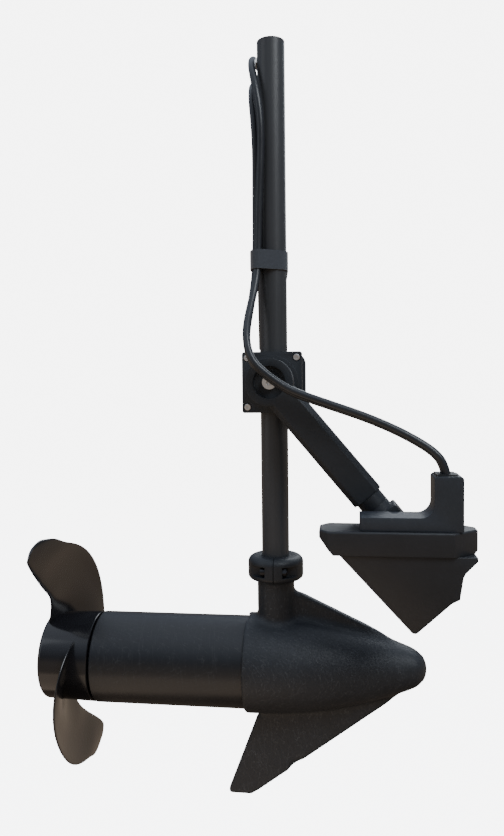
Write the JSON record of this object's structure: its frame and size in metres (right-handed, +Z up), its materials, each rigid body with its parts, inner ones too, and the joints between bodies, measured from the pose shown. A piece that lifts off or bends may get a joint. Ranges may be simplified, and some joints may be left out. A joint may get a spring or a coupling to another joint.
{
  "type": "trolling motor lower unit",
  "caption": "Electric trolling motor's shaft, motor pod and propeller, with a sonar transducer on a clamped swinging arm and its leads.",
  "frame": {"origin": "centre of the shaft's top end, on the axis of its socket", "axes": "+Z up along the shaft, +X the way the nose points, -Y the side that the transducer hangs on"},
  "size_m": [0.44, 0.297, 0.7874],
  "materials": {
    "shaft": "satin black composite tube",
    "casing": "finely textured moulded casing",
    "can": "satin black paint, lightly scuffed",
    "propeller": "polished black moulding",
    "clamp": "matt moulding",
    "arm": "fine layer lines",
    "bracket": "matt moulding with light edges",
    "transducer": "matt moulding",
    "rubber_parts": "matt",
    "lead": "satin jacket",
    "connector": "moulded",
    "power_lead": "matt jacket",
    "tape": "matt self-gripping band",
    "steel": "stainless",
    "washer": "matt",
    "magnet": "ground",
    "end_plate": "as cast",
    "copper": "lacquered copper",
    "carbon": "matt carbon",
    "board": "green laminate",
    "ceramic": "unglazed"
  },
  "bodies": {
    "lower_unit": {"brush_holders": "copper", "brush_springs": "steel", "carbon_brushes": "carbon", "case_seal_rings": "rubber_parts", "clamp_front": "clamp", "clamp_liner": "rubber_parts", "clamp_nuts": "steel", "clamp_rear": "clamp", "clamp_screws": "steel", "coil_ties": "tape", "collar_left": "casing", "collar_right": "casing", "collar_screws": "steel", "control_board": "board", "field_magnets": "magnet", "friction_washer": "washer", "front_bearing": "steel", "front_end_plate": "end_plate", "lead_front_coil": "lead", "lead_front_connector": "connector", "lead_front_shaft_side": "lead", "lead_rear_coil": "lead", "lead_rear_connector": "connector", "lead_rear_shaft_side": "lead", "lead_strap": "tape", "motor_can": "can", "nose_casing": "casing", "pivot_bolt": "steel", "power_cable": "power_lead", "power_plug": "connector", "rear_bearing": "steel", "rear_end_bell": "can", "shaft_seal": "rubber_parts", "shaft_tube": "shaft", "through_bolts": "steel"},
    "rotor": {"drive_shaft": "steel", "armature_core": "magnet", "armature_windings": "copper", "commutator": "copper", "drive_pin": "steel", "propeller": "propeller", "prop_washer": "steel", "prop_nut": "steel"},
    "sonar_arm": {"mount_arm": "arm", "arm_neck": "arm", "arm_knuckle": "arm", "transducer_bracket": "bracket", "lead_gland": "rubber_parts", "transducer_body": "transducer", "transducer_shell": "transducer", "transducer_board": "board", "sonar_array": "ceramic", "bracket_screws": "steel", "lead_front_arm_side": "lead", "lead_rear_arm_side": "lead"}
  },
  "joints": [
    {"name": "propeller_spin", "type": "hinge", "parent": "lower_unit", "child": "rotor", "pos_m": [-0.2, 0, -0.643], "axis": [1, 0, 0], "continuous": true},
    {"name": "arm_tilt", "type": "hinge", "parent": "lower_unit", "child": "sonar_arm", "pos_m": [0, -0.04, -0.3462], "axis": [0, -1, 0], "range_deg": [-35, 45]}
  ]
}
